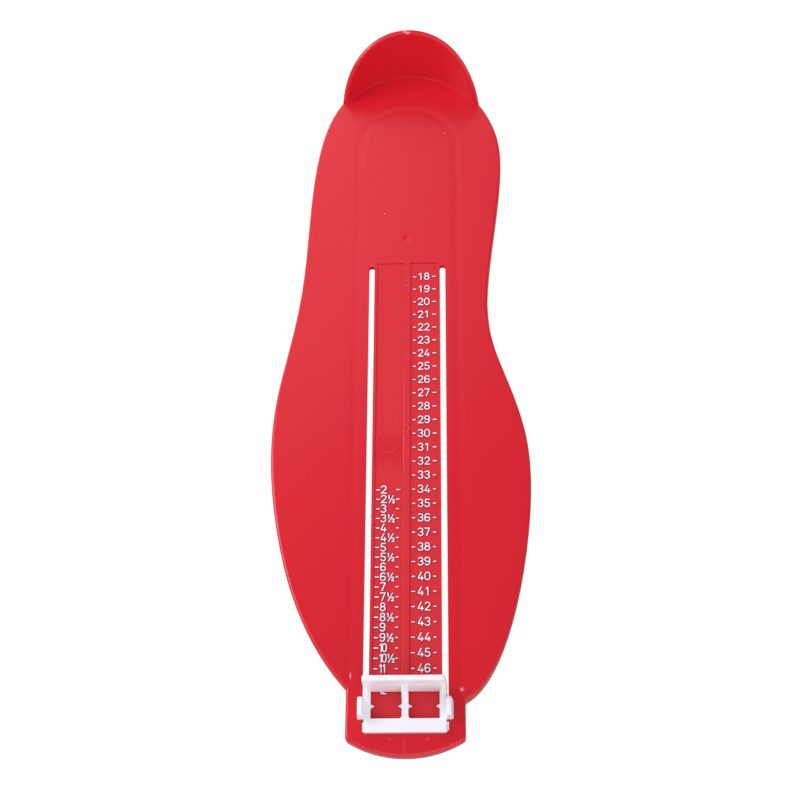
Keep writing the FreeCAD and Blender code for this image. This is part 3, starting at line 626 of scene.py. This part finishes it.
# The floor: half its side and how far it lies under the object, in metres, its own colour, and what
# the camera sees instead, a dark shade with a white glow added.
FLOOR_REACH = 3.0
FLOOR_DROP = 0.0002
PAPER = (0.65, 0.65, 0.65, 1.0)
PAPER_SEEN = (0.12, 0.12, 0.12, 1.0)
PAPER_GLOW = 0.95
PURE_WHITE = (1.0, 1.0, 1.0, 1.0)

# The white tent: its even level, then soft patches that add to it or, below 0, take from it.
# Each patch has a direction, a sharpness and a strength.
TENT_LEVEL = 0.31
TENT_PATCHES = (
    ((0.0, -0.57, 0.82), 10.0, 1.44),
    ((-0.60, -0.45, 0.66), 14.0, 0.8),
    ((0.67, -0.67, 0.31), 8.0, 1.55),
    ((-0.62, 0.70, 0.12), 14.0, 0.8),
    ((-0.62, 0.76, 0.05), 40.0, 4.0),
    ((0.22, 0.18, 0.96), 30.0, -0.28),
)
LIGHT_TINT = (0.99, 0.98, 1.03)
# Square lamps, all aimed at one point: name, place, side and watts.
LAMP_AIM = (0.0, 0.05, 0.0)
LAMPS = (
    ("key", (-0.55, 0.10, 0.45), 0.4, 2.38),
    ("heel_fill", (0.0, 0.6, 0.25), 0.4, 0.80),
    ("heel_glow", (-0.25, 0.6, 0.8), 0.5, 0.58),
)


def build_camera():
    """The photograph's view: from above the toe end, a little turned and rolled."""
    turn, tilt, roll = (math.radians(angle) for angle in (CAMERA_TURN, CAMERA_TILT, CAMERA_ROLL))
    away = Vector((math.sin(turn) * math.sin(tilt), -math.cos(turn) * math.sin(tilt),
                   math.cos(tilt)))
    level = Vector((math.cos(turn), math.sin(turn), 0))
    up = away.cross(level)
    right = math.cos(roll) * level + math.sin(roll) * up
    top = -math.sin(roll) * level + math.cos(roll) * up
    target = spot(*CAMERA_AIM) + CAMERA_SHIFT * MM * (top - right)
    data = bpy.data.cameras.new("view")
    data.sensor_width = SENSOR_WIDTH
    data.lens = SENSOR_WIDTH * FOCAL_PIXELS / PHOTO_PIXELS
    data.clip_start = CAMERA_NEAR
    camera = bpy.data.objects.new("view", data)
    bpy.context.collection.objects.link(camera)
    axes = Matrix((right, top, away)).transposed().to_4x4()
    camera.matrix_world = Matrix.Translation(target + CAMERA_AWAY * away) @ axes
    bpy.context.scene.camera = camera


def paper_material():
    """Paper that shows white to the camera, but is plain pale paper to every other ray."""
    material, g = new_material("pale_floor")
    seen = g.add("ShaderNodeLightPath").outputs["Is Camera Ray"]
    paper = g.add("ShaderNodeBsdfDiffuse", {"Color": PAPER})
    shade = g.add("ShaderNodeBsdfDiffuse", {"Color": PAPER_SEEN})
    glow = g.add("ShaderNodeEmission", {"Color": PURE_WHITE, "Strength": PAPER_GLOW})
    backdrop = g.add("ShaderNodeAddShader", {0: shade.outputs[0], 1: glow.outputs[0]})
    both = g.add("ShaderNodeMixShader", {0: seen, 1: paper.outputs[0], 2: backdrop.outputs[0]})
    g.add("ShaderNodeOutputMaterial", {"Surface": both.outputs[0]})
    return material


def build_floor():
    """White paper that shows as a white background and still takes the object's shadow."""
    mesh = bpy.data.meshes.new("floor")
    corners = ((-1, -1), (1, -1), (1, 1), (-1, 1))
    mesh.from_pydata([(x * FLOOR_REACH, y * FLOOR_REACH, 0) for x, y in corners], [], [(0, 1, 2, 3)])
    floor = bpy.data.objects.new("floor", mesh)
    floor.location.z = -FLOOR_DROP
    bpy.context.collection.objects.link(floor)
    dress(floor, paper_material())


def build_tent():
    """White tent with a bright front, which the camera sees as plain white."""
    world = bpy.data.worlds.new("studio")
    bpy.context.scene.world = world
    world.use_nodes = True
    g = Graph(world.node_tree)
    look = g.add("ShaderNodeTexCoord").outputs["Generated"]
    level = TENT_LEVEL
    for direction, sharpness, strength in TENT_PATCHES:
        near = g.vector("DOT_PRODUCT", look, Vector(direction).normalized())
        patch = g.math("EXPONENT", g.times(g.math("SUBTRACT", near, 1.0), sharpness))
        level = g.total(g.times(patch, strength), level)
    seen = g.add("ShaderNodeLightPath").outputs["Is Camera Ray"]
    tent = g.add("ShaderNodeBackground", {"Color": LIGHT_TINT + (1,), "Strength": level})
    white = g.add("ShaderNodeBackground", {"Color": PURE_WHITE, "Strength": 1.0})
    mix = g.add("ShaderNodeMixShader", {0: seen, 1: tent.outputs[0], 2: white.outputs[0]})
    g.add("ShaderNodeOutputWorld", {"Surface": mix.outputs[0]})


def build_lamps():
    """A large soft key on the left, and a low and a high fill behind the heel."""
    for name, place, side, watts in LAMPS:
        data = bpy.data.lights.new(name, "AREA")
        data.size = side
        data.energy = watts
        data.color = LIGHT_TINT
        lamp = bpy.data.objects.new(name, data)
        lamp.location = place
        lamp.rotation_euler = (Vector(LAMP_AIM) - Vector(place)).to_track_quat("-Z", "Y").to_euler()
        bpy.context.collection.objects.link(lamp)


# ---------------------------------------------------------------- put together

bpy.context.scene.view_settings.view_transform = "Standard"

dress(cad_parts["foot_plate"], red_plastic())
dress(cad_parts["toe_slider"], white_plastic())
build_marks()
build_camera()
build_floor()
build_tent()
build_lamps()
